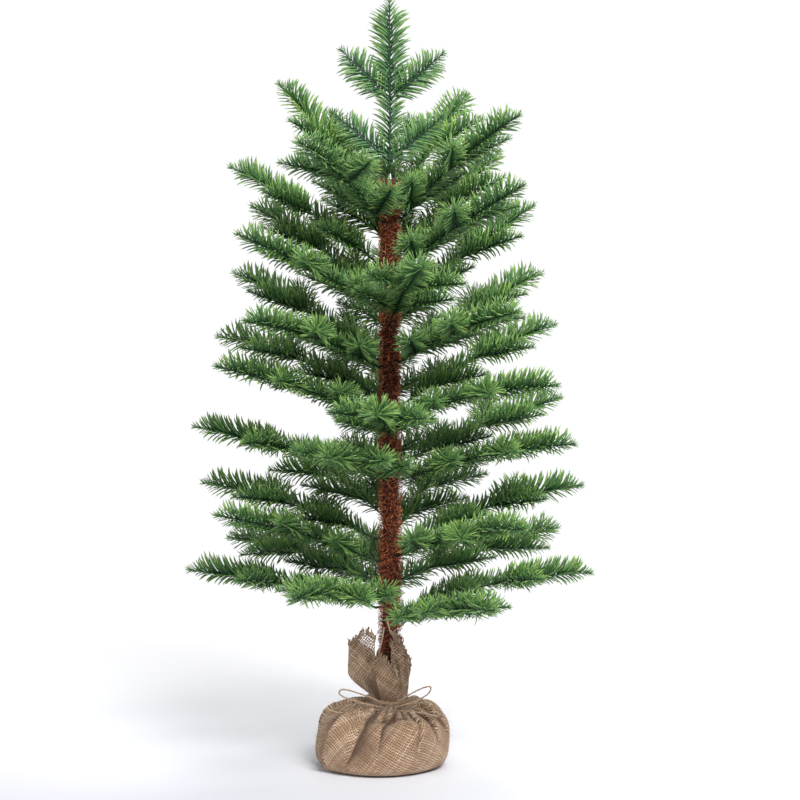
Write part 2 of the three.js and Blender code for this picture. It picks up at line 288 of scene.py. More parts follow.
# %% [markdown]
# ## The greens
# The needles' plastic is a mid green with a satin gloss. Each needle was coloured a little differently,
# its tip is painted a light yellow-green as a painted highlight of light through the thin tips, and its
# lower face is mixed towards blue-grey. The spine is a darker green, and the wires are wound in dark
# floral tape, so their bands show as a fine screw.

# %% Needle, spine and wire finishes
def needle_green():
    material, shader = new_material("needle_green", 0.42)
    shader.inputs["Specular IOR Level"].default_value = 0.35
    tint, along, under = shades(material)[:3]
    body = ramp(material, tint, ((0.0, (0.006, 0.048, 0.006)), (0.45, (0.020, 0.120, 0.013)),
                                 (0.8, (0.090, 0.25, 0.026)), (1.0, (0.20, 0.38, 0.045))))
    # Painted highlight: the tips are mixed towards this light yellow-green, standing in for light through
    # the thin tips.
    light = ramp(material, tint, ((0.0, (0.08, 0.25, 0.035)), (1.0, (0.58, 0.76, 0.17))))
    to_tip = calc(material, "POWER", along, 1.3)
    green = mix(material, calc(material, "MULTIPLY", to_tip, 0.75), body, light)
    patches = calc(material, "MULTIPLY", noise(material, 90), 0.4)
    mottled = mix(material, patches, green, (0.012, 0.085, 0.02))
    # The lower faces are mixed towards blue-grey.
    greyed_below = mix(material, calc(material, "MULTIPLY", under, 0.3), mottled, (0.13, 0.25, 0.20))
    join(material, greyed_below, shader.inputs["Base Color"])
    rough = calc(material, "MULTIPLY_ADD", noise(material, 500), 0.25, 0.32)
    join(material, rough, shader.inputs["Roughness"])
    bump(material, shader, noise(material, 900, 2), 0.0003, 0.4)
    return material


def spine_green():
    material, shader = new_material("spine_green", 0.5)
    grain = noise(material, 700)
    join(material, ramp(material, grain, ((0.3, (0.003, 0.015, 0.006)), (0.7, (0.012, 0.045, 0.016)))),
         shader.inputs["Base Color"])
    join(material, calc(material, "MULTIPLY_ADD", grain, 0.3, 0.35), shader.inputs["Roughness"])
    bump(material, shader, grain, 0.0004, 0.6)
    return material


def taped_wire():
    material, shader = new_material("taped_wire", 0.55)
    bands = calc(material, "SINE", calc(material, "MULTIPLY", shades(material)[1], 160.0))
    worn = calc(material, "MULTIPLY_ADD", bands, 0.25, noise(material, 600))
    join(material, ramp(material, worn, ((0.25, (0.006, 0.012, 0.008)), (0.8, (0.03, 0.055, 0.03)))),
         shader.inputs["Base Color"])
    bump(material, shader, bands, 0.00015, 0.7)
    return material


GREENS = [needle_green(), spine_green(), taped_wire()]
NEEDLE, SPINE, WIRE = range(3)
print("greens", [material.name for material in GREENS])

# %% [markdown]
# ## One tip of a spray
# A tip is a spine with four rows of needles on each side: one drooping, one flat, one rising and one
# nearly upright. The needles are a few millimetres apart along each row, and the rows are staggered.
# They are full length along the middle and get short over the last few centimetres, where they also
# lean further forward. A tip is laid out straight along +X, +Z up, then it is bent a little, because no
# two tips hang quite alike.

# %% Tip of a spray
NEEDLE_PITCH = 5.0 * MM
# side, rise in degrees, share of the full length
ROWS = ((1, 5, 1), (-1, 5, 1), (1, 35, 1), (-1, 35, 1), (1, 68, 1), (-1, 68, 1),
        (1, -30, 0.8), (-1, -30, 0.8))
END_BARE = 5 * MM
SPINE_RADIUS = 1.5 * MM


def smooth(share):
    share = np.clip(share, 0, 1)
    return share * share * (3 - 2 * share)


def needle_lengths(spots, length, full, fades):
    """How long the needles are along a tip: shorter towards a free end and a little near the start."""
    lengths = full * (0.8 + 0.2 * smooth(spots / (14 * MM)))
    if fades:
        lengths = lengths * (0.28 + 0.72 * smooth((length - END_BARE - spots) / (34 * MM)))
    return lengths


def row_axes(lean, side, rise, twist):
    """Axes of needles that lean out from +X by lean, on one side, at a rise; rows of the array are axes."""
    count = len(lean)
    out = np.stack([np.zeros(count), side * np.cos(rise), np.sin(rise)], axis=1)
    up = np.stack([np.zeros(count), -side * np.sin(rise), np.cos(rise)], axis=1)
    ahead = np.tile([1.0, 0, 0], (count, 1))
    along = ahead * np.cos(lean)[:, None] + out * np.sin(lean)[:, None]
    bend = out * np.cos(lean)[:, None] - ahead * np.sin(lean)[:, None]
    flat = up * np.cos(twist)[:, None] + bend * np.sin(twist)[:, None]
    bend = bend * np.cos(twist)[:, None] - up * np.sin(twist)[:, None]
    return np.stack([bend, flat, along], axis=1)


def needle_row(chance, start, length, full, side, rise, fades):
    """One row of needles as a pile."""
    end = length - END_BARE if fades else length
    spots = np.arange(start + chance.uniform(0, NEEDLE_PITCH), end, NEEDLE_PITCH)
    spots = spots + chance.normal(0, 0.5 * MM, len(spots))
    sizes = needle_lengths(spots, length, full, fades) * chance.uniform(0.93, 1.07, len(spots))
    to_end = smooth((end - spots) / (22 * MM)) if fades else np.ones(len(spots))
    lean = np.radians(34 + 13 * to_end + chance.normal(0, 3.5, len(spots)))
    rises = np.radians(rise + chance.normal(0, 7, len(spots)))
    axes = row_axes(lean, side, rises, np.radians(chance.normal(0, 14, len(spots))))
    places = np.stack(
        [spots, 0.6 * SPINE_RADIUS * side * np.cos(rises), 0.6 * SPINE_RADIUS * np.sin(rises)], 1)
    scales = np.stack([sizes, sizes ** 0.5 * (27 * MM) ** 0.5, sizes], axis=1)
    tints = np.clip(chance.normal(0.45, 0.2, len(spots)), 0, 1)
    return copies(needle_master, axes, places, scales, tints, NEEDLE)


def end_tuft(chance, length):
    """The last few short needles round a tip's end."""
    around = np.radians(np.arange(0, 360, 45) + chance.normal(0, 12, 8))
    lean = np.radians(chance.uniform(6, 34, 8))
    axes = row_axes(lean, np.ones(8), around, np.zeros(8))
    sizes = chance.uniform(6.5, 9.5, 8) * MM
    scales = np.stack([sizes, sizes * 1.6, sizes * 1.0], axis=1)
    places = np.stack([np.full(8, length - END_BARE - 3 * MM), np.zeros(8), np.zeros(8)], axis=1)
    return copies(needle_master, axes, places, scales, np.full(8, 0.4), NEEDLE)


def spine_rod(length, thick, thin):
    """A ridged spine along +X that gets thinner."""
    points, faces = spine_master
    share = points[:, 2:3]
    points = np.concatenate([share, points[:, :2] * (thick + (thin - thick) * share)], axis=1)
    points[:, 0] *= length
    shade = np.concatenate([share * 0 + 0.5, share, share * 0], axis=1)
    return points, list(faces), [SPINE] * len(faces), shade


def tip_pile(chance, length, full, start=2 * MM, fades=True, thick=SPINE_RADIUS, thin=0.65 * SPINE_RADIUS):
    """A whole tip laid along +X."""
    rows = [needle_row(chance, start, length, full * share, side, rise, fades)
            for side, rise, share in ROWS]
    if fades:
        rows.append(end_tuft(chance, length))
        rows.append(spine_rod(length - END_BARE, thick, thin))
    else:
        rows.append(spine_rod(length, thick, thin))
    return heaped(rows)


trial = tip_pile(np.random.default_rng(1), 115 * MM, 29 * MM)
print("terminal tip", len(trial[1]), "faces, reaches", (trial[0].max(0) * 1000).round(1), "mm")

# %% [markdown]
# ## One spray
# A spray is a bare pair of taped wires, then a needled stretch, a first pair of side tips, a second
# stretch, a second pair, and the terminal tip: the fir's own branching. Its sizes are the moulding's,
# the same as on the frame's plate. The flat layout is then curled: the spine leaves the trunk at its
# rise and levels out.

# %% Spray layout
JUNCTION_PITCH = 70 * MM
TERMINAL_LENGTH = 115 * MM
SIDE_LENGTH = 84 * MM
SIDE_ANGLE = 45
CURL = math.radians(16)
TERMINAL_NEEDLE = 29 * MM
SIDE_NEEDLE = 27 * MM
STRETCH_NEEDLE = 23 * MM
NEEDLED_BEFORE = 29 * MM
WIRE_RADIUS = 0.75 * MM


def moved(pile, start, turn, lift, sway):
    """A tip's pile bent by sway, turned and lifted about the junction that it starts from."""
    points = pile[0].copy()
    points[:, 2] += sway * points[:, 0] ** 2
    cos_lift, sin_lift = math.cos(lift), math.sin(lift)
    x = points[:, 0] * cos_lift - points[:, 2] * sin_lift
    z = points[:, 0] * sin_lift + points[:, 2] * cos_lift
    cos_turn, sin_turn = math.cos(turn), math.sin(turn)
    y = points[:, 1]
    points = np.stack([start + x * cos_turn - y * sin_turn, x * sin_turn + y * cos_turn, z], axis=1)
    return points, pile[1], pile[2], pile[3]


def wire_pair(chance, start, end):
    """Two taped wires side by side that wind slowly round each other."""
    points, faces = rod_master
    piles = []
    phase = chance.uniform(0, 6)
    for side in (1, -1):
        share = points[:, 2]
        winding = phase + share * 2.4
        y = points[:, 0] * WIRE_RADIUS + side * 0.9 * WIRE_RADIUS * np.cos(winding)
        z = points[:, 1] * WIRE_RADIUS + side * 0.9 * WIRE_RADIUS * np.sin(winding)
        placed = np.stack([start + share * (end - start), y, z], axis=1)
        shade = np.stack([share * 0 + 0.5, share, share * 0], axis=1)
        piles.append((placed, list(faces), [WIRE] * len(faces), shade))
    return heaped(piles)


def spray_pile(chance, stem):
    """A whole spray, laid flat with its hinge at the origin and its stem along +X."""
    second = stem + JUNCTION_PITCH
    needled = max(stem - NEEDLED_BEFORE, 5 * MM)
    piles = [wire_pair(chance, -3 * MM, stem + 2 * MM)]
    stretch = tip_pile(chance, second - needled, STRETCH_NEEDLE, fades=False,
                       thick=1.35 * MM, thin=1.25 * MM)
    piles.append(moved(stretch, needled, 0, 0, 0))
    for junction in (stem, second):
        for side in (1, -1):
            turn = side * math.radians(SIDE_ANGLE + chance.normal(0, 2.5))
            lift = math.radians(chance.normal(0, 3))
            tip = tip_pile(chance, SIDE_LENGTH * chance.uniform(0.95, 1.02), SIDE_NEEDLE, start=5 * MM)
            piles.append(moved(tip, junction, turn, lift, chance.normal(0, 0.35)))
    terminal = tip_pile(chance, TERMINAL_LENGTH, TERMINAL_NEEDLE, start=4 * MM)
    piles.append(moved(terminal, second, math.radians(chance.normal(0, 1.5)), 0, chance.normal(0, 0.25)))
    return heaped(piles)


def curled(points, reach):
    """The flat layout with its spine levelled out, as the frame's plate is."""
    radius = reach / CURL
    turn = CURL * np.maximum(points[:, 0], 0) / reach
    x = np.minimum(points[:, 0], 0) + (radius + points[:, 2]) * np.sin(turn)
    z = (radius + points[:, 2]) * np.cos(turn) - radius
    return np.stack([x, points[:, 1], z], axis=1)


# %% [markdown]
# ## Sprays on the frame
# Each spray's place is read from the frame: its hinge from the joint, its length from the far end of
# its plate, and its roll and rise from the plate's own long and cross directions. So a spray that the
# frame moves takes its needles with it.

# %% Placing the sprays
SHORT_OF_ARC = math.sin(CURL / 2) / (CURL / 2)


def plate_axes(points, top):
    """The spray's own axes (rows: along, across, up) and its reach, from its plate's points."""
    spread, directions = np.linalg.eigh(np.cov(points.T))
    across = directions[:, 1]
    far = np.linalg.norm(points, axis=1)
    end = points[far > far.max() - 1 * MM].mean(0)
    end = end - across * (end @ across)
    chord = end / np.linalg.norm(end)
    up = np.cross(chord, across)
    if up @ top < 0:
        across, up = -across, -up
    half = CURL / 2
    along = chord * math.cos(half) + up * math.sin(half)
    risen = up * math.cos(half) - chord * math.sin(half)
    return np.stack([along, across, risen]), np.linalg.norm(end) / SHORT_OF_ARC


def add_spray(joint, number):
    name = joint["child"]
    node = frame["nodes"][name]
    hinge = np.array(joint["pos_m"])
    corners = np.unique(np.round([vertex.co for vertex in node.data.vertices], 6), axis=0) - hinge
    top = np.array([0, 1, 0.05]) if name == "leader_spray" else np.array([0, 0, 1])
    axes, reach = plate_axes(corners, top)
    stem = reach - JUNCTION_PITCH - TERMINAL_LENGTH
    chance = np.random.default_rng(100 + number)
    points, faces, finishes, shade = spray_pile(chance, stem)
    placed = curled(points, reach) @ axes + hinge
    piece = new_piece(name + "_needles", (placed, faces, finishes, shade), GREENS)
    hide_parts(name)
    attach(piece, name)
    return stem, len(faces)


made = [add_spray(joint, number) for number, joint in enumerate(frame["joints"])]
print(len(made), "sprays,", sum(count for stem, count in made), "faces")
print("stems from", round(min(made)[0] * 1000, 1), "to", round(max(made)[0] * 1000, 1), "mm")

# %% [markdown]
# ## The bristle trunk
# The trunk is a pole in a sleeve of curly red-brown bristle, like a bottle brush trimmed close. A solid
# with a fur picture on it would have a hard edge, so the bristles are real: one curled strand, planted
# a few thousand times round a dark core, each turned its own way. The core is a tube with a shallow
# random swell; its near-black colour is painted shade, for the shade deep among the bristles, and the
# strands are painted darker towards their roots as painted shade too.

# %% Bristle finishes
def bristle_red():
    material, shader = new_material("bristle_red", 0.5)
    tint, along = shades(material)[:2]
    strand = ramp(material, tint, ((0.0, (0.09, 0.018, 0.008)), (0.35, (0.36, 0.075, 0.026)),
                                   (0.7, (0.68, 0.18, 0.062)), (1.0, (0.95, 0.42, 0.17))))
    # Painted shade: each strand is mixed towards near-black at its root, for the shade deep inside the
    # sleeve.
    deep = mix(material, calc(material, "MULTIPLY_ADD", along, 0.7, 0.3), (0.045, 0.009, 0.004), strand)
    join(material, deep, shader.inputs["Base Color"])
    join(material, calc(material, "MULTIPLY_ADD", noise(material, 800), 0.3, 0.3),
         shader.inputs["Roughness"])
    return material


def bristle_core_painted_shade():
    # Painted shade: the core's near-black stands for the shade deep among the bristles.
    material, shader = new_material("bristle_core_painted_shade", 0.9)
    matted = noise(material, 420, 5)
    join(material, ramp(material, matted, ((0.3, (0.012, 0.003, 0.002)), (0.7, (0.09, 0.018, 0.008)))),
         shader.inputs["Base Color"])
    bump(material, shader, matted, 0.0015)
    return material


# %% Bristle sleeve
wrap_low, wrap_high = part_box("trunk_bristle_wrap")
WRAP_OUT_LOW = wrap_high.x
WRAP_OUT_TOP = WRAP_OUT_LOW - 2 * MM
CORE_SHARE = 0.66
BRISTLES = 9500
BRISTLE_LENGTH = 8.2 * MM


def wrap_radius(height):
    return WRAP_OUT_LOW + (WRAP_OUT_TOP - WRAP_OUT_LOW) * (height - wrap_low.z) / (wrap_high.z - wrap_low.z)


def bristle_axes(chance, turn):
    """Axes of strands that leave the core outwards, each leaning and twisted its own way."""
    count = len(turn)
    out = np.stack([np.cos(turn), np.sin(turn), np.zeros(count)], axis=1)
    side = np.stack([-np.sin(turn), np.cos(turn), np.zeros(count)], axis=1)
    lean_side, lean_up = chance.normal(0, 0.55, count), chance.normal(0, 0.55, count)
    along = out + side * lean_side[:, None] + np.array([0, 0, 1.0]) * lean_up[:, None]
    along /= np.linalg.norm(along, axis=1)[:, None]
    spin = chance.uniform(0, 2 * math.pi, count)
    across = np.cross(along, [0, 0, 1.0])
    across /= np.linalg.norm(across, axis=1)[:, None]
    other = np.cross(along, across)
    bend = across * np.cos(spin)[:, None] + other * np.sin(spin)[:, None]
    return np.stack([bend, np.cross(along, bend), along], axis=1)


def bristle_pile(chance):
    heights = chance.uniform(wrap_low.z, wrap_high.z + 6 * MM, BRISTLES)
    turn = chance.uniform(0, 2 * math.pi, BRISTLES)
    foot = wrap_radius(heights) * CORE_SHARE
    places = np.stack([foot * np.cos(turn), foot * np.sin(turn), heights], axis=1)
    sizes = BRISTLE_LENGTH * chance.uniform(0.75, 1.2, BRISTLES)
    tints = np.clip(chance.normal(0.5, 0.25, BRISTLES), 0, 1)
    return copies(bristle_master, bristle_axes(chance, turn), places, np.stack([sizes] * 3, 1), tints, 0)


def core_pile(chance):
    """The dark core, painted shade deep in the bristle: a rod grown in many rings, each ring a little
    fatter or thinner.
    """
    rings = 60
    height = wrap_high.z - wrap_low.z + 10 * MM
    swell = [(height / rings, 0, chance.uniform(0.97, 1.03)) for ring in range(rings)]
    points, faces = grown(14, WRAP_OUT_LOW * CORE_SHARE, WRAP_OUT_LOW * CORE_SHARE, swell, pointed=False)
    points = points + np.array([0, 0, wrap_low.z])
    rim = np.linalg.norm(points[:, :2], axis=1, keepdims=True)
    points[:, :2] *= wrap_radius(points[:, 2:3]) * CORE_SHARE / np.maximum(rim, 1e-6) * chance.uniform(
        0.94, 1.06, (len(points), 1))
    return points, faces, [1] * len(faces), np.zeros((len(points), 3))


sleeve_chance = np.random.default_rng(7)
sleeve_pile = heaped([bristle_pile(sleeve_chance), core_pile(sleeve_chance)])
sleeve = new_piece("bristle_sleeve", sleeve_pile, [bristle_red(), bristle_core_painted_shade()])
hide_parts("trunk_bristle_wrap")
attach(sleeve, TRUNK)
print("bristle sleeve", len(sleeve_pile[1]), "faces")

# %% [markdown]
# ## The parts that stay as the frame made them
# The pole, the wires bound round it, the tub and the cement keep the frame's own shapes, because they
# are hidden or nearly so. Each gets its real finish: drawn steel with fine scratches along it, wound
# green wire, moulded black plastic, and pitted grey cement.

# %% Finishes of the hidden parts
def drawn_steel():
    material, shader = new_material("drawn_steel", 0.35)
    shader.inputs["Metallic"].default_value = 1.0
    drawn = noise(material, 260, 4, stretch=(8, 8, 0.4))
    join(material, ramp(material, drawn, ((0.3, (0.30, 0.31, 0.32)), (0.7, (0.58, 0.59, 0.60)))),
         shader.inputs["Base Color"])
    join(material, calc(material, "MULTIPLY_ADD", drawn, 0.35, 0.2), shader.inputs["Roughness"])
    return material


def wound_wire():
    material, shader = new_material("wound_wire", 0.5)
    place = add_node(material, "ShaderNodeTexCoord").outputs["Object"]
    height = add_node(material, "ShaderNodeSeparateXYZ", {"Vector": place}).outputs["Z"]
    turns = calc(material, "SINE", calc(material, "MULTIPLY", height, 3900.0))
    join(material, ramp(material, turns, ((0.1, (0.004, 0.010, 0.006)), (0.9, (0.022, 0.050, 0.024)))),
         shader.inputs["Base Color"])
    bump(material, shader, turns, 0.0006)
    return material


def moulded_tub():
    material, shader = new_material("moulded_tub", 0.45)
    grain = noise(material, 1200, 2)
    join(material, ramp(material, noise(material, 30),
                        ((0.3, (0.010, 0.011, 0.012)), (0.7, (0.02, 0.021, 0.022)))),
         shader.inputs["Base Color"])
    join(material, calc(material, "MULTIPLY_ADD", grain, 0.2, 0.35), shader.inputs["Roughness"])
    bump(material, shader, grain, 0.0002, 0.5)
    return material


def pitted_cement():
    material, shader = new_material("pitted_cement", 0.95)
    pits = noise(material, 260, 6)
    join(material, ramp(material, pits, ((0.3, (0.16, 0.155, 0.14)), (0.7, (0.38, 0.37, 0.34)))),
         shader.inputs["Base Color"])
    bump(material, shader, pits, 0.002)
    return material


def refinish(node, material):
    piece = frame["nodes"][node]
    piece.data.materials.clear()
    piece.data.materials.append(material)


refinish("trunk_pole", drawn_steel())
refinish("ballast_tub", moulded_tub())
refinish("cement_ballast", pitted_cement())
wire_finish = wound_wire()
bindings = [name for name in frame["nodes"] if name.endswith("_wire_binding")]
for name in bindings:
    refinish(name, wire_finish)
print("kept", len(bindings), "bindings, the pole, the tub and the cement")

# %% [markdown]
# ## The sack's shape
# The sack is one square of burlap laid flat under the tub, drawn up its sides and gathered round the
# trunk, with its four corners left standing as ears. A simulated square would fold where it likes, and
# these folds have their places, so the cloth is drawn in code: an outline from the middle of
# its floor up to the tie, turned round the trunk, with each fold a crease that runs down from the tie
# and fades.

# %% Outline and rows
tie_low, tie_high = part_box("twine_winding")
TIE = (tie_low.z + tie_high.z) / 2
NECK = 19.2 * MM
SAG = 11.5 * MM
SAG_SHED = 0.075  # how much less it hangs over for each unit of height
COLUMNS = 600
SACK_ROWS = 112
EAR_ROWS = 46
OUTLINE = ((0, 0.8), (38, 0.8), (58, 0.8), (68.5, 1.2), (75, 5), (78, 13), (78.6, 25), (77.4, 40), (75, 51),
           (68.5, 61), (57, 67.5), (44, 71), (32, 73), (24, 73.6), (19.6, 74))


def rounded(points, times):
    """An open line of points with its corners cut, again and again."""
    for repeat in range(times):
        quarter = points[:-1] * 0.75 + points[1:] * 0.25
        three = points[:-1] * 0.25 + points[1:] * 0.75
        inner = np.stack([quarter, three], axis=1).reshape(-1, points.shape[1])
        points = np.concatenate([points[:1], inner, points[-1:]])
    return points


def evenly(points, count):
    """That many points, evenly spaced along a line, and the line's length."""
    gaps = np.linalg.norm(np.diff(points, axis=0), axis=1)
    run = np.concatenate([[0], np.cumsum(gaps)])
    spots = np.linspace(0, run[-1], count)
    return np.stack([np.interp(spots, run, points[:, axis]) for axis in range(points.shape[1])], 1), run[-1]


meridian = np.array([*OUTLINE, (NECK / MM, TIE / MM)]) * MM
meridian, meridian_length = evenly(rounded(meridian, 3), SACK_ROWS)
climb = np.gradient(meridian, axis=0)
climb /= np.linalg.norm(climb, axis=1)[:, None]
outward = np.stack([climb[:, 1], -climb[:, 0]], axis=1)
print("floor to tie", round(meridian_length * 1000), "mm of cloth")

# %% [markdown]
# ## The folds
# Angles are counted round the trunk in degrees, 270 at the front. A fold is one panel's edge lying over
# the next panel: where it starts at the tie, where it crosses the collar and the shoulder, where it
# ends at the floor, how deep its hollow is, over how many degrees the hollow fades, how far down it
# reaches, and on which side the upper panel lies. The edge is pushed out and leans over the hollow, so
# it throws a true shadow.

# %% Folds and gathers
# tie, collar, shoulder, foot, depth in mm, fade in degrees, reach (1 is the floor's edge), side of the
# panel
FOLDS = (
    (206, 219, 224, 214, 15.0, 12, 1.35, 1),
    (240, 248, 249, 236, 7.0, 9, 1.15, -1),
    (292, 279, 267, 265, 5.5, 8, 0.75, -1),
    (300, 305, 308, 297, 4.5, 7, 0.90, 1),
    (312, 322, 326, 329, 8.0, 5, 0.60, 1),
    (324, 340, 347, 352, 7.5, 7, 0.55, 1),
    (8, 14, 20, 24, 6.0, 8, 0.80, -1),
    (40, 46, 50, 42, 7.5, 9, 0.95, -1),
    (74, 79, 82, 88, 5.5, 7, 0.75, 1),
    (104, 108, 112, 114, 8.0, 9, 0.90, -1),
    (138, 139, 138, 130, 6.0, 8, 0.80, 1),
    (164, 164, 165, 170, 7.0, 8, 0.85, -1),
)
LEAN = 3.0  # degrees that an edge leans over
COLLAR_SHARE = 0.85
SHOULDER_SHARE = 0.70
FOOT_SHARE = 0.40
# turn, share of the way up, half width in degrees and in share, depth in mm: hollows under the knot
HOLLOWS = ((283, 0.795, 15, 0.022, 7.0), (268, 0.77, 9, 0.022, 5.0),
           (318, 0.80, 8, 0.02, 4.0), (232, 0.84, 14, 0.02, 4.0))
GATHERS = 26


def turn_between(angles, other):
    """The signed difference of two angles in degrees."""
    return (angles - other + 180) % 360 - 180


def fold_depths(angles, up_share):
    """How far the folds push the cloth out (+) or in (-), and how far round its edges lean, in degrees."""
    depth = np.zeros((len(up_share), len(angles)))
    lean = np.zeros_like(depth)
    for tie, collar, shoulder, foot, deep, fade, reach, side in FOLDS:
        spots = shoulder + turn_between(np.array([foot, shoulder, collar, tie]), shoulder)
        line = np.interp(up_share, [FOOT_SHARE, SHOULDER_SHARE, COLLAR_SHARE, 1], spots)
        off = side * turn_between(angles[None], line[:, None])
        on_top = smooth((off + 0.7) / 1.4)
        hollow = -np.exp(-np.abs(off) / fade)
        raised = 0.4 * np.exp(-np.abs(off) / (0.8 * fade))
        low = SHOULDER_SHARE - (SHOULDER_SHARE - FOOT_SHARE) * reach
        strength = smooth((up_share - low) / 0.2) * (1 - 0.85 * smooth((up_share - 0.86) / 0.14))
        depth += deep * MM * strength[:, None] * (on_top * raised + (1 - on_top) * hollow)
        lean -= (side * LEAN * min(deep / 8, 1.3) * strength[:, None] * on_top
                 * np.exp(-np.maximum(off, 0) / 2.5))
    for turn, share, half_turn, half_share, deep in HOLLOWS:
        across = turn_between(angles, turn) / half_turn
        up = (up_share - share) / half_share
        depth -= deep * MM * np.exp(-across[None] ** 2) * np.exp(-up[:, None] ** 2)
    return depth, lean


def gather_depths(angles, up_share):
    """The small gathers below the tie: sharp creases between rounded tops."""
    turn = np.radians(angles)
    wander = 0.9 * np.sin(2 * turn + 1.0) + 0.7 * np.sin(5 * turn + 0.4) + 0.5 * np.sin(9 * turn + 2.2)
    wave = 1.9 * np.abs(np.sin(GATHERS * turn / 2 + wander)) ** 0.65 - 1.25
    strength = smooth((up_share - 0.70) / 0.14) * (1 - 0.8 * smooth((up_share - 0.88) / 0.12))
    return 3.0 * MM * strength[:, None] * wave[None]


def slump_depths(angles, up_share):
    """Broad soft swells of the slack cloth."""
    turn = np.radians(angles)[None]
    share = up_share[:, None] * math.pi
    swell = (np.sin(3 * turn + 2 * share) + 0.7 * np.sin(5 * turn - 3 * share + 1)
             + 0.5 * np.sin(8 * turn + 4 * share))
    strength = smooth((up_share - 0.36) / 0.1) * (1 - smooth((up_share - 0.7) / 0.15))
    return 1.2 * MM * strength[:, None] * swell


# %% [markdown]
# ## The ears
# Above the tie each corner of the square opens again into an ear. An ear leaves the neck's circle and
# turns into an upright strip of its own: it has a middle, a direction that it faces, a width and a
# bulge, and a top edge given by a few points from its one side to the other. Between the ears the cloth
# ends above the twine.

# %% Ears
# turn and arc on the neck, height above the tie, middle (x, y) low and at the top, facing, width, bulge
EARS = {
    "left": (196, 84, 82, (-28, -7), (-29, -4), 250, 42, 6),
    "front": (259, 74, 56, (-1, -27), (-4, -26), 268, 45, 8),
    "right": (322, 78, 82, (11, -15), (11, -14), 303, 25, 4),
    "back": (84, 90, 72, (1, 24), (2, 27), 88, 44, 6),
}
EAR_TOPS = {
    "left": ((-1, .80), (-.7, .85), (-.35, .93), (.1, 1), (.35, .97), (.7, .86), (1, .78)),
    "front": ((-1, .62), (-.85, .80), (-.62, .97), (-.45, 1), (-.2, .98), (.15, .82), (.5, .66), (1, .42)),
    "right": ((-1, .80), (-.85, .98), (-.7, 1), (-.4, .92), (0, .84), (.4, .74), (.75, .64), (1, .55)),
    "back": ((-1, .5), (-.6, .78), (-.2, .96), (0, 1), (.3, .9), (.7, .7), (1, .5)),
}
SIDE_ABOVE_TIE = 6 * MM
EARS_PARTED = 12 * MM  # neighbouring columns that differ by more aren't joined
EAR_TILTS = (38, 34, 50, 20)  # how the weave lies on each ear, in degrees
EAR_LAYOUT_GAP = 0.4
OPENS_OVER = 34 * MM


def ear_columns(angles, name):
    """Each column's place across an ear, -1 to 1, and whether the ear holds it."""
    across = turn_between(angles, EARS[name][0]) / (EARS[name][1] / 2)
    return across, np.abs(across) <= 1


def ear_heights(chance, angles):
    heights = np.full(len(angles), SIDE_ABOVE_TIE)
    for name, line in EAR_TOPS.items():
        across, inside = ear_columns(angles, name)
        top = np.interp(across, [place for place, share in line], [share for place, share in line])
        heights = np.where(inside, EARS[name][2] * MM * top, heights)
    return heights * chance.uniform(0.975, 1.02, len(angles))


def ear_strip(across, above, sizes):
    """Where the open ear lies: an upright strip, bulged in its middle and rippled across."""
    turn, arc, height, low, top, facing, width, bulge = sizes
    rise = np.clip(above / (height * MM), 0, 1)
    facing = math.radians(facing)
    out = np.array([math.cos(facing), math.sin(facing)])
    side = np.array([-out[1], out[0]])
    middle = np.array(low)[None, None] + (np.array(top) - np.array(low))[None, None] * rise[:, :, None]
    ripple = 1.5 * np.sin(across * 6.5 + turn) + 0.8 * np.sin(across * 14 + 9 * rise)
    swell = np.sin(math.pi * np.clip(0.18 + rise * 0.8, 0, 1))
    depth = bulge * (1 - across ** 2) * (0.5 + 0.5 * swell) + ripple
    spread = width / 2 * (0.92 + 0.12 * swell)
    return (middle + side * (across * spread)[:, :, None] + out * depth[:, :, None]) * MM


def ear_points(angles, heights):
    """The rows above the tie: x, y, z for each row and column."""
    share = np.linspace(0, 1, EAR_ROWS + 1)[1:, None]
    above = share * heights[None]
    turn = np.radians(angles)[None]
    place = np.stack([NECK * np.cos(turn) + above * 0, NECK * np.sin(turn) + above * 0], axis=2)
    opened = smooth(above / OPENS_OVER)[:, :, None] ** 0.6
    for name, sizes in EARS.items():
        across, inside = ear_columns(angles, name)
        strip = ear_strip(np.tile(across, (EAR_ROWS, 1)), above, sizes)
        place = np.where(inside[None, :, None], place * (1 - opened) + strip * opened, place)
    return np.concatenate([place, (TIE + above)[:, :, None]], axis=2)


# %% [markdown]
# ## The cloth as one mesh
# The rows from the floor to the tie and the rows of the ears make one grid, closed round the trunk and
# at the middle of the floor. Its threads don't run the same way everywhere: each panel between two
# folds is its own patch of the weave, turned a little, so the UV map is laid out panel by panel at the
# cloth's true size.

# %% Cloth grid
PANELS = (2, 22, 47, 82, 112, 137, 166, 184, 204, 219, 245, 266, 304, 327, 348)
PANEL_TURNS = (10, -24, 33, 4, -18, 40, 12, -8, 38, 44, 36, 36, 30, 40, -32)


TUB_REACH = max(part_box("ballast_tub")[1].x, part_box("ballast_tub")[1].y) + 0.9 * MM
TUB_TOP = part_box("ballast_tub")[1].z + 0.9 * MM


def kept_off_tub(points):
    """Moves what a fold pushed into the tub out to its side, or up to its rim, whichever is nearer."""
    reach = np.maximum(np.hypot(points[:, :, 0], points[:, :, 1]), 1e-6)
    inside = (reach < TUB_REACH) & (points[:, :, 2] < TUB_TOP) & (points[:, :, 2] > 3 * MM)
    sideways = inside & (TUB_REACH - reach < TUB_TOP - points[:, :, 2])
    points[:, :, :2] *= np.where(sideways, TUB_REACH / reach, 1)[:, :, None]
    points[:, :, 2] = np.where(inside & ~sideways, TUB_TOP, points[:, :, 2])
    print("cloth points kept off the tub", int(inside.sum()))
    return points


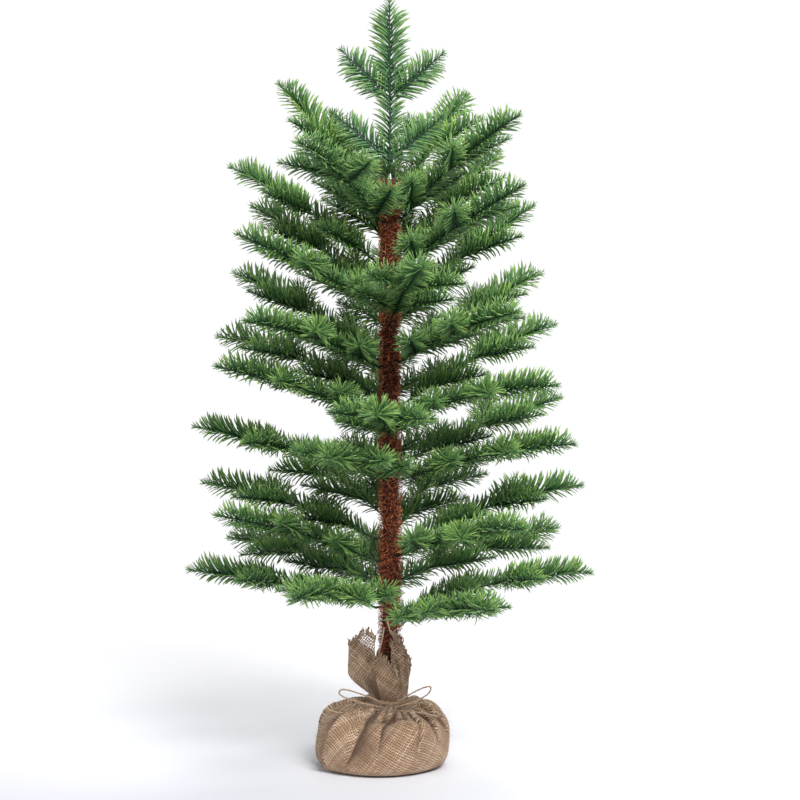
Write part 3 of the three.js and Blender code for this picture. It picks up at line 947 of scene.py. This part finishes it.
def sack_points(chance):
    angles = np.arange(COLUMNS) * 360 / COLUMNS
    up_share = np.linspace(0, 1, SACK_ROWS)
    folds, lean = fold_depths(angles, up_share)
    depth = folds + gather_depths(angles, up_share) + slump_depths(angles, up_share)
    radius = meridian[:, :1] + outward[:, :1] * depth
    height = meridian[:, 1:] + outward[:, 1:] * depth
    turn = np.radians(angles[None] + lean)
    points = np.stack([radius * np.cos(turn), radius * np.sin(turn), np.maximum(height, 0.3 * MM)], axis=2)
    outer = np.clip((radius - 22 * MM) / (40 * MM), 0, 1)
    points[:, :, 0] -= outer * (SAG - SAG_SHED * points[:, :, 2])
    points = kept_off_tub(points)
    heights = ear_heights(chance, angles)
    points = np.concatenate([points[1:], ear_points(angles, heights)])
    crease = np.concatenate([depth[1:], np.zeros((EAR_ROWS, COLUMNS))])
    return angles, points, heights, crease


def grid_faces(rows, columns, middle, heights):
    """Quads of a grid closed round its columns, triangles to its middle. Ears' sides stay free."""
    faces = []
    for column in range(columns):
        after = (column + 1) % columns
        faces.append((middle, column, after)[::-1])
        parted = abs(heights[column] - heights[after]) > EARS_PARTED
        for row in range(SACK_ROWS if parted else rows - 1):
            low, high = row * columns, (row + 1) * columns
            faces.append((low + column, low + after, high + after, high + column))
    return faces


def turn_flat(u, v, tilt):
    """A place on the flat cloth, turned by an angle."""
    return u * math.cos(tilt) - v * math.sin(tilt), u * math.sin(tilt) + v * math.cos(tilt)


def ear_layout(angles, heights):
    """How the ears' rows lie flat: across the strip one way, up it the other."""
    share = np.linspace(0, 1, EAR_ROWS + 1)[1:, None]
    above = share * heights[None]
    flat = np.stack([np.tile(np.radians(angles) * NECK, (EAR_ROWS, 1)), above], axis=2)
    for number, (name, sizes) in enumerate(EARS.items()):
        across, inside = ear_columns(angles, name)
        tilt = math.radians(EAR_TILTS[number])
        u = np.tile(across * sizes[6] / 2 * MM, (EAR_ROWS, 1)) + EAR_LAYOUT_GAP * number
        turned = np.stack(turn_flat(u, above, tilt), 2)
        flat = np.where(inside[None, :, None], turned, flat)
    return flat


def weave_map(mesh, angles, points, heights):
    """Lays the cloth out: the sack panel by panel, then each ear as its own strip."""
    rows, columns = points.shape[:2]
    steps = np.linalg.norm(np.diff(points, axis=0), axis=2)
    along = np.concatenate([np.zeros((1, columns)), steps]).cumsum(0)
    round_radius = np.maximum(np.linalg.norm(points[:, :, :2], axis=2), 0.02)
    ears = ear_layout(angles, heights)
    first_ear = rows - EAR_ROWS
    layer = mesh.uv_layers.new(name="weave")
    flat = np.zeros((len(mesh.loops), 2))
    for face in mesh.polygons:
        corners = [corner for corner in face.vertices if corner < rows * columns]
        places = [divmod(corner, columns) for corner in corners]
        column = places[0][1]
        in_ear = min(row for row, spot in places) >= first_ear
        panel = (np.searchsorted(PANELS, angles[column], side="right") - 1) % len(PANELS)
        tilt = math.radians(PANEL_TURNS[panel])
        for loop, corner in zip(face.loop_indices, face.vertices):
            if corner >= rows * columns:
                continue
            row, spot = divmod(corner, columns)
            if in_ear:
                flat[loop] = ears[row - first_ear, spot]
                continue
            u = math.radians(turn_between(angles[spot], PANELS[panel] + 12)) * round_radius[row, spot]
            v = along[row, spot]
            flat[loop] = turn_flat(u, v, tilt)
    layer.data.foreach_set("uv", flat.ravel())


cloth_chance = np.random.default_rng(11)
cloth_angles, cloth_points, ear_tops, creases = sack_points(cloth_chance)
cloth_rows = len(cloth_points)
cloth_faces = grid_faces(cloth_rows, COLUMNS, cloth_rows * COLUMNS, ear_tops)
cloth_corners = np.concatenate([cloth_points.reshape(-1, 3), [[-SAG, 0, 0.3 * MM]]])
cloth_shades = np.zeros((len(cloth_corners), 3))
# Painted shade: the first channel grows where the folds sink the cloth in, and the burlap mixes it to dark
# brown.
cloth_shades[:-1, 0] = np.clip(0.5 - creases.ravel() / (11 * MM), 0, 1)
rise = np.clip((cloth_corners[:, 2] - TIE) / (80 * MM), 0, 1)
# Painted shade in the gap where the left ear's right side passes behind the front ear.
beside, in_left = ear_columns(cloth_angles, "left")
above_tie = cloth_points[-EAR_ROWS:, :, 2] - TIE
gap = in_left[None] * smooth((beside[None] - 0.1) / 0.7) * (1 - smooth((above_tie - 26 * MM) / (24 * MM)))
cloth_shades[:-1, 0].reshape(cloth_rows, COLUMNS)[-EAR_ROWS:] += 0.5 * gap
to_right = np.clip((cloth_corners[:, 0] + 46 * MM) / (26 * MM), 0, 1)
cloth_shades[:, 1] = smooth((rise - 0.72 + 0.2 * to_right * (cloth_corners[:, 0] < -12 * MM)) / 0.42)
print("cloth", len(cloth_faces), "faces")

# %% [markdown]
# ## Burlap
# Burlap is a plain weave of thick, uneven jute threads with square holes between them. In the shader
# each thread is a band of the UV map, a little wavy; the one on top changes from crossing to crossing.
# The height of the threads drives the bump and a painted shade in the gaps between the threads, and
# the holes are cut out with alpha, so light comes through the ears. The hollows of the folds and the gap
# behind the front ear are painted darker as well: painted shade. Near the frayed tops the threads have
# slid apart, and the holes are larger.

# %% Burlap finish
THREAD_PITCH = 2.7 * MM


def thread_bands(material, position, wobble, width):
    """One set of parallel threads: its roundness from 0 at the edge, and the thread's number."""
    place = calc(material, "ADD", calc(material, "MULTIPLY", position, 1 / THREAD_PITCH), wobble)
    number = calc(material, "FLOOR", place)
    off = calc(material, "ABSOLUTE", calc(material, "SUBTRACT", calc(material, "FRACT", place), 0.5))
    edge = calc(material, "DIVIDE", off, calc(material, "MULTIPLY", width, 0.5))
    body = calc(material, "SUBTRACT", 1.0, calc(material, "POWER", edge, 2.0))
    return calc(material, "MAXIMUM", body, 0.0), number


def hashed(material, number, seed):
    """A random value for each thread."""
    made = add_node(material, "ShaderNodeTexWhiteNoise", {"W": calc(material, "ADD", number, seed)},
                    noise_dimensions="1D")
    return made.outputs["Value"]


def burlap_cloth():
    material, shader = new_material("burlap_cloth", 0.9)
    layout = add_node(material, "ShaderNodeUVMap", uv_map="weave").outputs["UV"]
    split = add_node(material, "ShaderNodeSeparateXYZ", {"Vector": layout})
    waver = add_node(material, "ShaderNodeTexNoise", {"Vector": layout, "Scale": 110.0, "Detail": 2.0})
    other = add_node(material, "ShaderNodeTexNoise", {"Vector": layout, "Scale": 160.0, "Detail": 2.0})
    deep, opened = shades(material)[:2]
    width = calc(material, "MULTIPLY_ADD", opened, -0.28,
                 calc(material, "MULTIPLY_ADD", other.outputs["Fac"], 0.5, 0.50))
    warp, warp_number = thread_bands(material, split.outputs["X"], waver.outputs["Fac"], width)
    weft, weft_number = thread_bands(material, split.outputs["Y"], other.outputs["Fac"], width)
    odd = calc(material, "MODULO",
               calc(material, "ABSOLUTE", calc(material, "ADD", warp_number, weft_number)), 2.0)
    over_warp = calc(material, "MULTIPLY", warp, calc(material, "MULTIPLY_ADD", odd, 0.45, 0.55))
    over_weft = calc(material, "MULTIPLY", weft, calc(material, "MULTIPLY_ADD", odd, -0.45, 1.0))
    height = calc(material, "MAXIMUM", over_warp, over_weft)
    tone = calc(material, "MULTIPLY_ADD", hashed(material, warp_number, 3.1), 0.5,
                calc(material, "MULTIPLY", hashed(material, weft_number, 8.7), 0.5))
    fibres = add_node(material, "ShaderNodeTexNoise",
                      {"Vector": layout, "Scale": 1500.0, "Detail": 3.0}).outputs["Fac"]
    tone = calc(material, "MULTIPLY_ADD", fibres, 0.8, calc(material, "MULTIPLY_ADD", tone, 0.5, -0.15))
    thread = ramp(material, tone,
                  ((0.1, (0.25, 0.145, 0.08)), (0.45, (0.56, 0.37, 0.235)), (0.9, (0.94, 0.76, 0.58))))
    # Painted shade: the thread colour darkens to near-black towards each thread's edge and the holes
    # between threads.
    thread_gap_shaded = mix(material, calc(material, "MULTIPLY", calc(material, "SUBTRACT", 1.0, height), 0.95), thread,
              (0.05, 0.025, 0.014))
    # Painted shade in the folds' hollows and behind the front ear, read from the first channel.
    shadowed = calc(material, "MULTIPLY",
                    calc(material, "MAXIMUM", calc(material, "SUBTRACT", deep, 0.52), 0.0), 1.7)
    crease_shaded = mix(material, shadowed, thread_gap_shaded, (0.11, 0.062, 0.038))
    join(material, crease_shaded, shader.inputs["Base Color"])
    closed = calc(material, "MULTIPLY_ADD", opened, 0.24, -0.14)
    join(material, calc(material, "GREATER_THAN", height, closed), shader.inputs["Alpha"])
    rough = calc(material, "MULTIPLY_ADD", fibres, 0.2, 0.78)
    join(material, rough, shader.inputs["Roughness"])
    shader.inputs["Sheen Weight"].default_value = 0.1
    shader.inputs["Specular IOR Level"].default_value = 0.15
    shader.inputs["Sheen Roughness"].default_value = 0.5
    bump(material, shader, calc(material, "MULTIPLY_ADD", fibres, 0.2, height), 0.0011, 0.9)
    return material


burlap_finish = burlap_cloth()
sack = new_piece("burlap_sheet", (cloth_corners, cloth_faces, [0] * len(cloth_faces), cloth_shades),
                 [burlap_finish])
weave_map(sack.data, cloth_angles, cloth_points, ear_tops)
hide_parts("burlap_bag")
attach(sack, TRUNK)

# %% [markdown]
# ## Frayed edges and loose threads
# Cut burlap unravels: along the ears' tops the upright threads stand free for a few millimetres, some
# splayed, and fine fibres stick out all over. One short tapering thread and one hair are grown, and
# planted along the top edge and over the cloth. Two longer threads have come away and lean against the
# trunk.

# %% Jute thread finish
def jute_thread():
    material, shader = new_material("jute_thread", 0.85)
    tint, along = shades(material)[:2]
    grain = noise(material, 1300, 3)
    tone = calc(material, "MULTIPLY_ADD", grain, 0.7, calc(material, "MULTIPLY_ADD", tint, 0.6, -0.15))
    join(material, ramp(material, tone, ((0.1, (0.17, 0.10, 0.055)), (0.5, (0.38, 0.25, 0.155)),
                                         (0.9, (0.62, 0.45, 0.31)))),
         shader.inputs["Base Color"])
    shader.inputs["Sheen Weight"].default_value = 0.2
    bump(material, shader, grain, 0.0004, 0.8)
    return material


jute_finish = jute_thread()
THREAD_STEPS = ((0.3, 6, 1.05), (0.3, 10, 0.95), (0.25, 12, 0.8), (0.15, 10, 0.4))
thread_master = grown(5, 0.055, 0.055, THREAD_STEPS)
hair_master = grown(3, 0.022, 0.022, ((0.4, 25, 0.9), (0.35, 30, 0.8), (0.25, 30, 0.5)))


def loose_axes(chance, along, spread):
    """Axes of strands near a direction, each with its own bend."""
    along = along + chance.normal(0, spread, along.shape)
    along /= np.linalg.norm(along, axis=1)[:, None]
    across = np.cross(along, chance.normal(0, 1, along.shape))
    across /= np.linalg.norm(across, axis=1)[:, None]
    return np.stack([across, np.cross(along, across), along], axis=1)


def fray_pile(chance):
    """Threads standing along the tops of the ears."""
    tall = np.nonzero(ear_tops > 24 * MM)[0]
    gap = np.linalg.norm(cloth_points[-1, tall] - cloth_points[-1, (tall + 1) % COLUMNS], axis=1)
    run = np.cumsum(np.minimum(gap, THREAD_PITCH)) + chance.uniform(-0.5, 0.5, len(tall)) * MM
    tall = tall[np.diff(np.floor(run / (0.85 * THREAD_PITCH)), prepend=-1) > 0]
    tops, below = cloth_points[-1, tall], cloth_points[-6, tall]
    upward = tops - below
    upward /= np.linalg.norm(upward, axis=1)[:, None]
    sizes = chance.uniform(4.5, 9, len(tall)) * MM
    thick = chance.uniform(12, 18, len(tall)) * MM
    scales = np.stack([thick, thick, sizes], axis=1)
    tints = chance.uniform(0.2, 0.9, len(tall))
    return copies(thread_master, loose_axes(chance, upward, 0.2), tops - upward * 1.5 * MM,
                  scales, tints, 0)


def fuzz_pile(chance, count):
    """Hairs over the outside of the cloth."""
    rows = chance.integers(50, cloth_rows - 1, count)
    columns = chance.integers(0, COLUMNS, count)
    places = cloth_points[rows, columns]
    out = places - np.array([0, 0, 0.04])
    out /= np.linalg.norm(out, axis=1)[:, None]
    sizes = chance.uniform(3, 6.5, count) * MM
    axes = loose_axes(chance, out, 0.9)
    return copies(hair_master, axes, places, np.stack([sizes] * 3, 1), chance.uniform(0.5, 1, count), 0)


# %% [markdown]
# ## Tubes along a line
# Threads and twine follow a line. A curve object with a round bevel would do for a smooth cord, and
# twine isn't smooth, so its three plies are wound round the line as they are in a rope walk: each ply
# is a tube whose middle circles the line once for each turn of the lay.

# %% Tube and twine helpers
def catmull(points, between):
    """A smooth line through given points, with that many steps between each two (centripetal)."""
    points = np.array(points, float)
    ends = [2 * points[0] - points[1], 2 * points[-1] - points[-2]]
    padded = np.concatenate([ends[:1], points, ends[1:]])
    line = []
    for a, b, c, d in zip(padded, padded[1:], padded[2:], padded[3:]):
        knots = np.cumsum([0] + [np.linalg.norm(q - p) ** 0.5 for p, q in ((a, b), (b, c), (c, d))])
        for t in np.linspace(knots[1], knots[2], between, endpoint=False):
            ab = a + (b - a) * (t - knots[0]) / (knots[1] - knots[0])
            bc = b + (c - b) * (t - knots[1]) / (knots[2] - knots[1])
            cd = c + (d - c) * (t - knots[2]) / (knots[3] - knots[2])
            left = ab + (bc - ab) * (t - knots[0]) / (knots[2] - knots[0])
            right = bc + (cd - bc) * (t - knots[1]) / (knots[3] - knots[1])
            line.append(left + (right - left) * (t - knots[1]) / (knots[2] - knots[1]))
    return np.array([*line, points[-1]])


def carried_frames(line):
    """Two directions across a line at each point, carried along it without twist."""
    tangent = np.gradient(line, axis=0)
    tangent /= np.linalg.norm(tangent, axis=1)[:, None]
    across = np.cross(tangent[0], [0.3, 0.2, 0.93])
    firsts = []
    for direction in tangent:
        across = across - direction * (across @ direction)
        across /= np.linalg.norm(across)
        firsts.append(across)
    firsts = np.array(firsts)
    return firsts, np.cross(tangent, firsts)


def tube_pile(line, radii, sides, tint, finish=0):
    """A closed tube along a line, its radius given at each point."""
    first, second = carried_frames(line)
    turn = np.arange(sides) * 2 * math.pi / sides
    ring = first[:, None] * np.cos(turn)[None, :, None] + second[:, None] * np.sin(turn)[None, :, None]
    points = line[:, None] + ring * np.asarray(radii)[:, None, None]
    faces = [tuple(range(sides))[::-1], tuple(range((len(line) - 1) * sides, len(line) * sides))]
    for row in range(len(line) - 1):
        for side in range(sides):
            after = (side + 1) % sides
            low, high = row * sides, (row + 1) * sides
            faces.append((low + side, low + after, high + after, high + side))
    share = np.repeat(np.linspace(0, 1, len(line)), sides)
    shade = np.stack([np.full(len(share), tint), share, share * 0], axis=1)
    return points.reshape(-1, 3), faces, [finish] * len(faces), shade


TWINE = 2 * MM
PLIES = 3
LAY = 7 * MM


def twine_pile(chance, line):
    """Twine of three plies along a line."""
    length = np.linalg.norm(np.diff(line, axis=0), axis=1).sum()
    line, length = evenly(line, max(int(length / (0.8 * MM)), 12))
    first, second = carried_frames(line)
    piles = []
    for ply in range(PLIES):
        turn = np.linspace(0, length / LAY * 2 * math.pi, len(line)) + ply * 2 * math.pi / PLIES
        middle = line + (first * np.cos(turn)[:, None] + second * np.sin(turn)[:, None]) * TWINE * 0.235
        radii = TWINE * 0.27 * chance.uniform(0.9, 1.08, len(line))
        piles.append(tube_pile(middle, radii, 6, 0.35 + 0.2 * ply))
    count = int(length / (1.6 * MM))
    spots = chance.integers(1, len(line) - 1, count)
    sizes = chance.uniform(1.2, 2.0, count) * MM
    axes = loose_axes(chance, first[spots], 0.9)
    piles.append(copies(hair_master, axes, line[spots], np.stack([sizes] * 3, 1), np.full(count, 0.8), 0))
    return heaped(piles)


# %% Fray, fuzz and two loose threads
LOOSE_THREADS = (
    ((-14, -21, 124), (-12.5, -20, 136), (-10, -19, 148), (-8, -18, 158), (-7, -17, 165)),
    ((13, -17, 140), (11.5, -18, 147), (6, -18.5, 153), (1, -18, 159), (-2, -17.5, 168), (-3.5, -17, 177)),
)
fray_chance = np.random.default_rng(23)
fray_piles = [fray_pile(fray_chance), fuzz_pile(fray_chance, 1500)]
for points in LOOSE_THREADS:
    line = catmull(np.array(points) * MM, 5)
    fray_piles.append(tube_pile(line, np.full(len(line), 0.75 * MM), 6, 0.8))
fray = new_piece("burlap_fray", heaped(fray_piles), [jute_finish])
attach(fray, TRUNK)

# %% [markdown]
# ## The tie and its bow
# One length of twine goes three times round the neck and is tied in a bow at the front. The loops are
# stiff enough to stand up, and the tails lie along the sack's shoulder. Each runs along the frame's own
# route, so its points are repeated here; the knot is a real overhand knot drawn by its formula.

# %% Twine round the neck and the knot
KNOT_TURN = math.radians(-94)
WIND_RADIUS = 21 * MM
KNOT_OUT = 25.4 * MM
turns = np.linspace(0, 3 * 2 * math.pi, 190) + KNOT_TURN
wind_heights = TIE + np.linspace(-2.1, 2.1, 190) * MM
winding_line = np.stack([WIND_RADIUS * np.cos(turns), WIND_RADIUS * np.sin(turns), wind_heights], axis=1)
knot_share = np.linspace(0, 2 * math.pi, 90)
knot_line = np.stack([
    np.sin(knot_share) + 2 * np.sin(2 * knot_share),
    -np.sin(3 * knot_share) * 1.2,
    (np.cos(knot_share) - 2 * np.cos(2 * knot_share)) * 0.75,
], axis=1) * 1.15 * MM
knot_line += np.array([KNOT_OUT * math.cos(KNOT_TURN), KNOT_OUT * math.sin(KNOT_TURN), TIE])
twine_chance = np.random.default_rng(31)
tie_piles = [twine_pile(twine_chance, winding_line), twine_pile(twine_chance, knot_line)]
tie = new_piece("twine_tie", heaped(tie_piles), [jute_finish])
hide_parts("twine_winding")
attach(tie, TRUNK)
print("tie", len(tie.data.polygons), "faces")

# %% Bow
# the bow's routes, as points (x, y, height above the tie) in mm
LEFT_LOOP = (
    (-7.5, -28.5, 1), (-14, -33, 6), (-24, -35, 11), (-36, -34, 15), (-48, -31, 18), (-57, -28, 18),
    (-59, -30, 14), (-53, -34, 10.5), (-42, -38, 7.5), (-29, -39, 4), (-17, -36, 0.5), (-8, -31.5, -2.5),
)
RIGHT_LOOP = (
    (5, -28.5, 1.5), (11, -32, 6), (20, -34, 12), (31, -33, 18), (41, -30, 21.5), (47, -27, 21),
    (46, -30, 16), (39, -35, 11), (29, -39, 7), (18, -38, 3), (10, -34, -0.5), (4.5, -31.5, -2),
)
LEFT_TAIL = (
    (-8, -30, -5.5), (-15, -33, -5), (-25, -36, -5.5), (-36, -39, -6), (-48, -41, -6.5), (-60, -41, -6),
    (-70, -39, -3),
)
RIGHT_TAIL = (
    (5, -31, -5.5), (13, -35, -5.5), (23, -38, -5.5), (34, -41, -6), (45, -43, -7.5), (55, -45, -10),
)


def add_twine(name, points):
    """A loop or tail of the bow, which leaves the knot."""
    line = catmull(np.array(points) * MM + np.array([0, 0, TIE]), 6)
    piece = new_piece(name + "_strands", twine_pile(twine_chance, line), [jute_finish])
    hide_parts(name)
    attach(piece, TRUNK)


add_twine("twine_loop_left", LEFT_LOOP)
add_twine("twine_loop_right", RIGHT_LOOP)
add_twine("twine_tail_left", LEFT_TAIL)
add_twine("twine_tail_right", RIGHT_TAIL)

# %% [markdown]
# ## The studio
# A round white floor fades out into a white surround, so it has no edge to see from any side. A large
# soft lamp stands high in front, a weaker one fills from the left, one lights the top from behind, and
# a pale sky lights everything evenly, as in a light tent. The sky looks white, and it lights less than
# it shows.

# %% Floor and lamps
FLOOR_RADIUS = 1.15
FLOOR_FADES = 0.38
FLOOR_DROP = 0.0004  # just under the sack, so the two don't share a plane


def studio_white():
    material, shader = new_material("studio_white", 0.6)
    cloudy = noise(material, 2.2, 4)
    paper = ramp(material, cloudy, ((0.3, (0.86, 0.865, 0.90)), (0.7, (0.90, 0.905, 0.93))))
    place = add_node(material, "ShaderNodeTexCoord").outputs["Object"]
    split = add_node(material, "ShaderNodeSeparateXYZ", {"Vector": place})
    # Painted shade: the paper is mixed greyer towards the front and the left, away from the key lamp on the
    # right.
    nearer = calc(material, "MULTIPLY_ADD", split.outputs["Y"], -1.2, 0.6)
    lefter = calc(material, "MULTIPLY_ADD", split.outputs["X"], -0.6, 0.7)
    shaded = add_node(material, "ShaderNodeClamp", {"Value": calc(material, "MULTIPLY", nearer, lefter)})
    join(material, mix(material, shaded.outputs["Result"], paper, (0.41, 0.41, 0.465)),
         shader.inputs["Base Color"])
    bump(material, shader, noise(material, 9, 2), 0.004, 0.25)
    out = add_node(material, "ShaderNodeVectorMath", {"Vector": place}, operation="LENGTH").outputs["Value"]
    spread = {"Value": out, "From Min": FLOOR_FADES, "From Max": FLOOR_RADIUS, "To Min": 1.0, "To Max": 0.0}
    fades = add_node(material, "ShaderNodeMapRange", spread, interpolation_type="SMOOTHSTEP")
    join(material, fades.outputs["Result"], shader.inputs["Alpha"])
    return material


bpy.ops.object.select_all(action="DESELECT")
bpy.ops.mesh.primitive_circle_add(vertices=96, radius=FLOOR_RADIUS, fill_type="NGON")
floor = bpy.context.object
floor.name = "studio_floor"
bpy.ops.object.mode_set(mode="EDIT")
bpy.ops.transform.translate(value=(0, 0, -FLOOR_DROP))
bpy.ops.object.mode_set(mode="OBJECT")
floor.data.materials.append(studio_white())


def soft_lamp(name, place, aim, size, power):
    """A large rectangular lamp at a place, turned to what it lights."""
    lamp = bpy.data.lights.new(name, "AREA")
    lamp.shape = "RECTANGLE"
    lamp.size, lamp.size_y = size
    lamp.energy = power
    holder = bpy.data.objects.new(name, lamp)
    bpy.context.scene.collection.objects.link(holder)
    holder.location = place
    holder.rotation_euler = (Vector(aim) - Vector(place)).to_track_quat("-Z", "Y").to_euler()


# name, place, what it is aimed at, size in metres, watts
LAMPS = (
    ("key_lamp", (0.9, -1.9, 2.3), (0, 0, 0.45), (1.5, 1.2), 126),
    ("fill_lamp", (-1.9, -1.4, 1.0), (0, 0, 0.4), (1.2, 1.2), 12),
    ("top_lamp", (0.2, 1.2, 2.2), (0, 0, 0.4), (1.2, 0.8), 30),
)
for lamp_sizes in LAMPS:
    soft_lamp(*lamp_sizes)
SKY_LIGHTS = 0.5
sky = bpy.data.worlds.new("light_tent")
sky.use_nodes = True
sky.node_tree.nodes["Background"].inputs["Color"].default_value = (1.02, 1.02, 1.03, 1)
seen = add_node(sky, "ShaderNodeLightPath").outputs["Is Camera Ray"]
glow = calc(sky, "MULTIPLY_ADD", seen, 1 - SKY_LIGHTS, SKY_LIGHTS)
join(sky, glow, sky.node_tree.nodes["Background"].inputs["Strength"])
bpy.context.scene.world = sky
bpy.context.scene.view_settings.view_transform = "Standard"
print("studio: floor", FLOOR_RADIUS, "m, three lamps")
